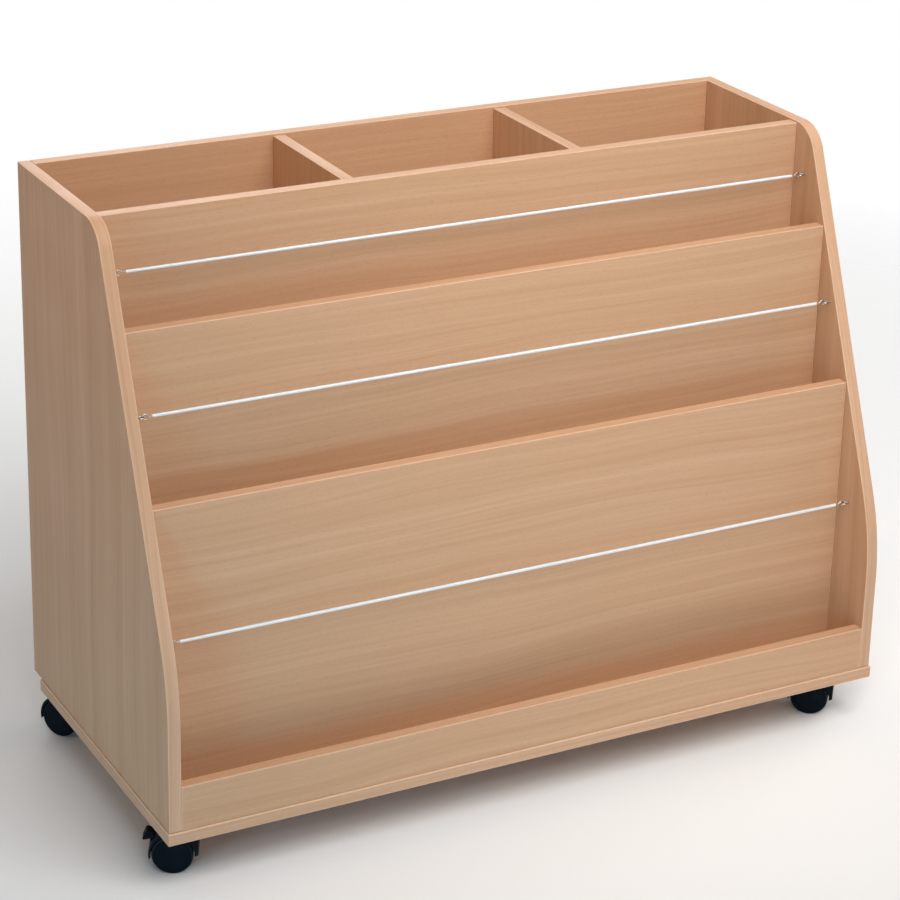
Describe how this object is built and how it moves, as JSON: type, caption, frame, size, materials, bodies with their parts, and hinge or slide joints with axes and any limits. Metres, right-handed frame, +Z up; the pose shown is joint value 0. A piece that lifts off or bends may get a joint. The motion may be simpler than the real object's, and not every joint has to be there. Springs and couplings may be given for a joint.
{
  "type": "picture book browser bin",
  "caption": "Beech-effect picture book browser bin on castors, with stepped display panels, sprung retaining wires and divided top bins.",
  "frame": {"origin": "on the floor, in the middle of the footprint's box", "axes": "+X along the width to the right as seen from the front, +Y towards the back, +Z up"},
  "size_m": [1.012, 0.46, 0.7682],
  "materials": {
    "beech_board": "satin laminated board with a fine beech fleck",
    "white_sleeve": "smooth white plastic sleeve",
    "plated_steel": "bright plated steel",
    "black_nylon": "moulded black nylon with a low sheen"
  },
  "bodies": {
    "carcass": {"left_side_panel": "beech_board", "right_side_panel": "beech_board", "base_panel": "beech_board", "front_lip": "beech_board", "lower_display_panel": "beech_board", "middle_display_panel": "beech_board", "upper_display_panel": "beech_board", "back_panel": "beech_board", "lower_pocket_shelf": "beech_board", "bin_shelf": "beech_board", "left_bin_divider": "beech_board", "right_bin_divider": "beech_board", "upper_left_screw_eye": "plated_steel", "upper_right_screw_eye": "plated_steel", "middle_left_screw_eye": "plated_steel", "middle_right_screw_eye": "plated_steel", "lower_left_screw_eye": "plated_steel", "lower_right_screw_eye": "plated_steel", "front_left_castor_plate": "plated_steel", "front_right_castor_plate": "plated_steel", "back_left_castor_plate": "plated_steel", "back_right_castor_plate": "plated_steel", "front_left_kingpin": "plated_steel", "front_right_kingpin": "plated_steel", "back_left_kingpin": "plated_steel", "back_right_kingpin": "plated_steel"},
    "upper_wire": {"upper_sprung_wire": "white_sleeve", "upper_left_hook": "plated_steel", "upper_right_hook": "plated_steel"},
    "middle_wire": {"middle_sprung_wire": "white_sleeve", "middle_left_hook": "plated_steel", "middle_right_hook": "plated_steel"},
    "lower_wire": {"lower_sprung_wire": "white_sleeve", "lower_left_hook": "plated_steel", "lower_right_hook": "plated_steel"},
    "front_left_castor": {"front_left_castor_hood": "black_nylon", "front_left_axle": "plated_steel", "front_left_pedal_pin": "plated_steel"},
    "front_right_castor": {"front_right_castor_hood": "black_nylon", "front_right_axle": "plated_steel", "front_right_pedal_pin": "plated_steel"},
    "back_left_castor": {"back_left_castor_hood": "black_nylon", "back_left_axle": "plated_steel"},
    "back_right_castor": {"back_right_castor_hood": "black_nylon", "back_right_axle": "plated_steel"},
    "front_left_wheel_a": {"front_left_outer_wheel": "black_nylon"},
    "front_left_wheel_b": {"front_left_inner_wheel": "black_nylon"},
    "front_right_wheel_a": {"front_right_outer_wheel": "black_nylon"},
    "front_right_wheel_b": {"front_right_inner_wheel": "black_nylon"},
    "back_left_wheel_a": {"back_left_outer_wheel": "black_nylon"},
    "back_left_wheel_b": {"back_left_inner_wheel": "black_nylon"},
    "back_right_wheel_a": {"back_right_outer_wheel": "black_nylon"},
    "back_right_wheel_b": {"back_right_inner_wheel": "black_nylon"},
    "front_left_pedal": {"front_left_brake_pedal": "black_nylon"},
    "front_right_pedal": {"front_right_brake_pedal": "black_nylon"}
  },
  "joints": [
    {"name": "upper_wire_roll", "type": "hinge", "parent": "carcass", "child": "upper_wire", "pos_m": [0.00399, -0.027, 0.7032], "axis": [1, 0, 0], "range_deg": [-25, 25]},
    {"name": "middle_wire_roll", "type": "hinge", "parent": "carcass", "child": "middle_wire", "pos_m": [0.00399, -0.102, 0.55144], "axis": [1, 0, 0], "range_deg": [-25, 25]},
    {"name": "lower_wire_roll", "type": "hinge", "parent": "carcass", "child": "lower_wire", "pos_m": [0.00399, -0.177, 0.29607], "axis": [1, 0, 0], "range_deg": [-25, 25]},
    {"name": "front_left_swivel", "type": "hinge", "parent": "carcass", "child": "front_left_castor", "pos_m": [-0.45601, -0.1835, 0.06], "axis": [0, 0, 1], "continuous": true},
    {"name": "front_right_swivel", "type": "hinge", "parent": "carcass", "child": "front_right_castor", "pos_m": [0.46399, -0.1835, 0.06], "axis": [0, 0, 1], "continuous": true},
    {"name": "back_left_swivel", "type": "hinge", "parent": "carcass", "child": "back_left_castor", "pos_m": [-0.45601, 0.18, 0.06], "axis": [0, 0, 1], "continuous": true},
    {"name": "back_right_swivel", "type": "hinge", "parent": "carcass", "child": "back_right_castor", "pos_m": [0.46399, 0.18, 0.06], "axis": [0, 0, 1], "continuous": true},
    {"name": "front_left_roll_a", "type": "hinge", "parent": "front_left_castor", "child": "front_left_wheel_a", "pos_m": [-0.47039, -0.17649, 0.025], "axis": [-0.4384, -0.8988, 0], "continuous": true},
    {"name": "front_left_roll_b", "type": "hinge", "parent": "front_left_castor", "child": "front_left_wheel_b", "pos_m": [-0.47039, -0.17649, 0.025], "axis": [-0.4384, -0.8988, 0], "continuous": true},
    {"name": "front_right_roll_a", "type": "hinge", "parent": "front_right_castor", "child": "front_right_wheel_a", "pos_m": [0.45156, -0.17343, 0.025], "axis": [-0.6293, -0.7771, 0], "continuous": true},
    {"name": "front_right_roll_b", "type": "hinge", "parent": "front_right_castor", "child": "front_right_wheel_b", "pos_m": [0.45156, -0.17343, 0.025], "axis": [-0.6293, -0.7771, 0], "continuous": true},
    {"name": "back_left_roll_a", "type": "hinge", "parent": "back_left_castor", "child": "back_left_wheel_a", "pos_m": [-0.46541, 0.19294, 0.025], "axis": [-0.809, -0.5878, 0], "continuous": true},
    {"name": "back_left_roll_b", "type": "hinge", "parent": "back_left_castor", "child": "back_left_wheel_b", "pos_m": [-0.46541, 0.19294, 0.025], "axis": [-0.809, -0.5878, 0], "continuous": true},
    {"name": "back_right_roll_a", "type": "hinge", "parent": "back_right_castor", "child": "back_right_wheel_a", "pos_m": [0.45648, 0.19413, 0.025], "axis": [-0.8829, -0.4695, 0], "continuous": true},
    {"name": "back_right_roll_b", "type": "hinge", "parent": "back_right_castor", "child": "back_right_wheel_b", "pos_m": [0.45648, 0.19413, 0.025], "axis": [-0.8829, -0.4695, 0], "continuous": true},
    {"name": "front_left_pedal_press", "type": "hinge", "parent": "front_left_castor", "child": "front_left_pedal", "pos_m": [-0.49106, -0.1664, 0.0445], "axis": [-0.4384, -0.8988, 0], "range_deg": [0, 14]},
    {"name": "front_right_pedal_press", "type": "hinge", "parent": "front_right_castor", "child": "front_right_pedal", "pos_m": [0.43368, -0.15896, 0.0445], "axis": [-0.6293, -0.7771, 0], "range_deg": [0, 14]}
  ]
}
